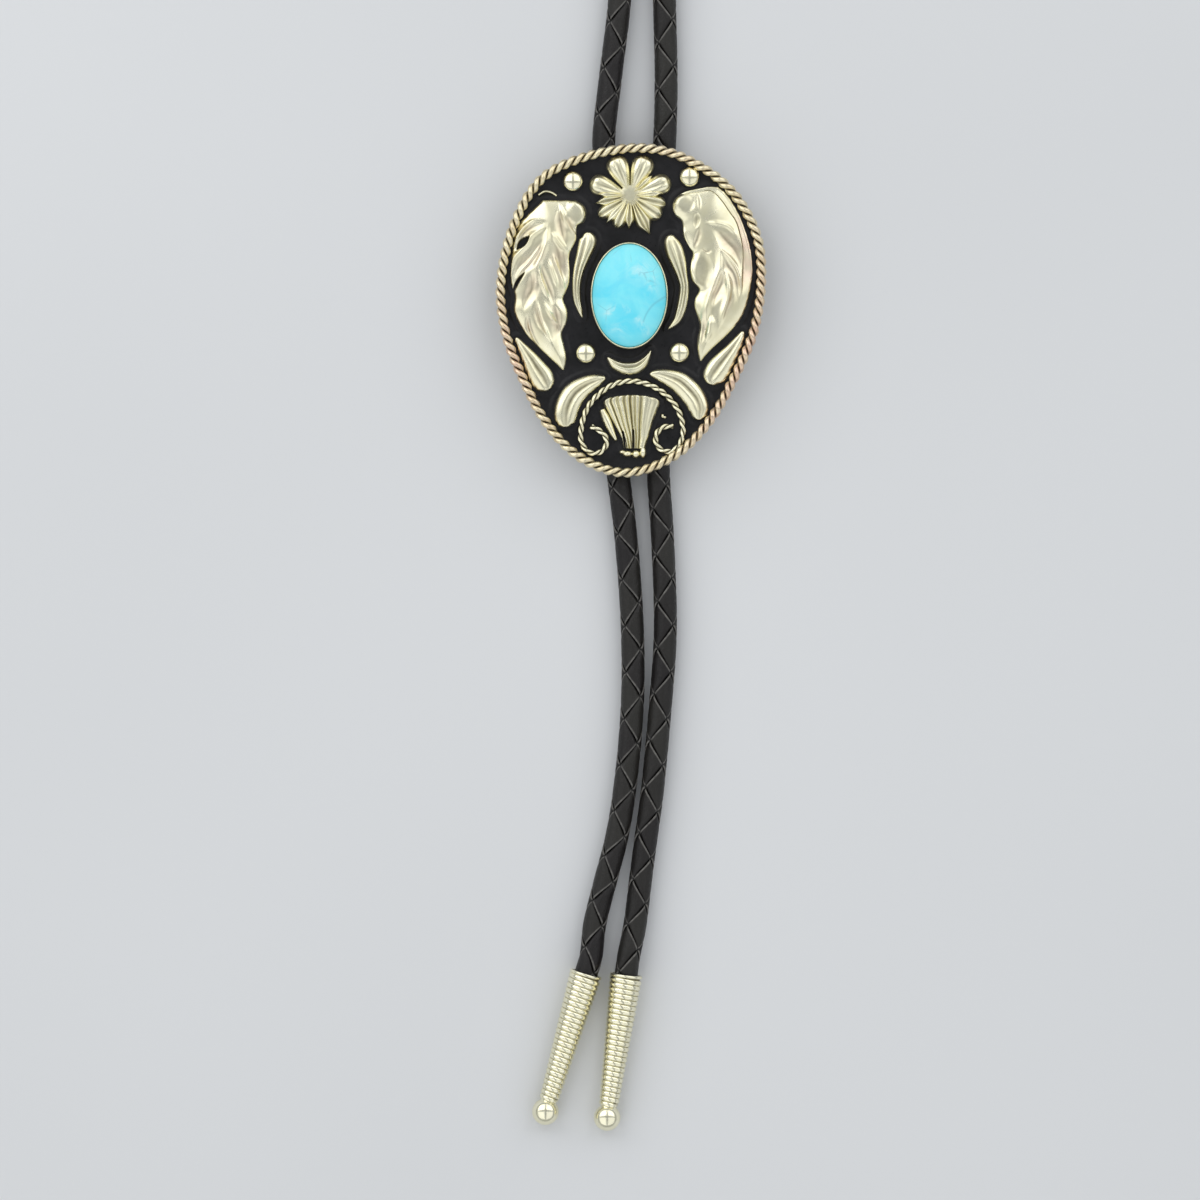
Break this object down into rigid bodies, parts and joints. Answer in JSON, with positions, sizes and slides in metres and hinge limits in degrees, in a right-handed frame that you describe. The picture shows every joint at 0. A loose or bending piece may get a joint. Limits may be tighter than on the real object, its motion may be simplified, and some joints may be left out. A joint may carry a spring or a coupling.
{
  "type": "bolo tie",
  "caption": "Bolo tie: an oval overlay slide with leaves, flower and set turquoise oval on a braided leather cord with wound metal tips; worn round the neck as a tie.",
  "frame": {"origin": "middle of the slide's outline, on the surface that the tie lies on", "axes": "+Y runs up the slide towards the neck loop, +X to the right as seen from the front, +Z out of the stone"},
  "size_m": [0.065, 0.4352, 0.0143],
  "materials": {
    "enamel": "black enamel field, satin gloss",
    "rope_metal": "nickel silver, slightly coppery, polished high spots",
    "silver": "warm nickel silver, soft polish, dark in the grooves",
    "back_metal": "plain stamped nickel silver",
    "turquoise": "polished turquoise cabochon with paler clouds",
    "leather": "four-strand braided black leather, satin"
  },
  "bodies": {
    "root": {"plate": "enamel", "rope_rim": "rope_metal", "bezel": "silver", "stone": "turquoise", "bead_1": "silver", "bead_2": "silver", "bead_3": "silver", "bead_4": "silver", "flower": "silver", "leaf_left": "silver", "leaf_right": "silver", "leaf_stem": "silver", "horn_left": "silver", "horn_right": "silver", "crescent": "silver", "teardrop_left": "silver", "teardrop_right": "silver", "bean_left": "silver", "bean_right": "silver", "lasso": "silver", "fan": "silver", "fan_spike": "silver", "clip": "back_metal", "cord": "leather", "tip_left": "silver", "tip_right": "silver"}
  },
  "joints": []
}
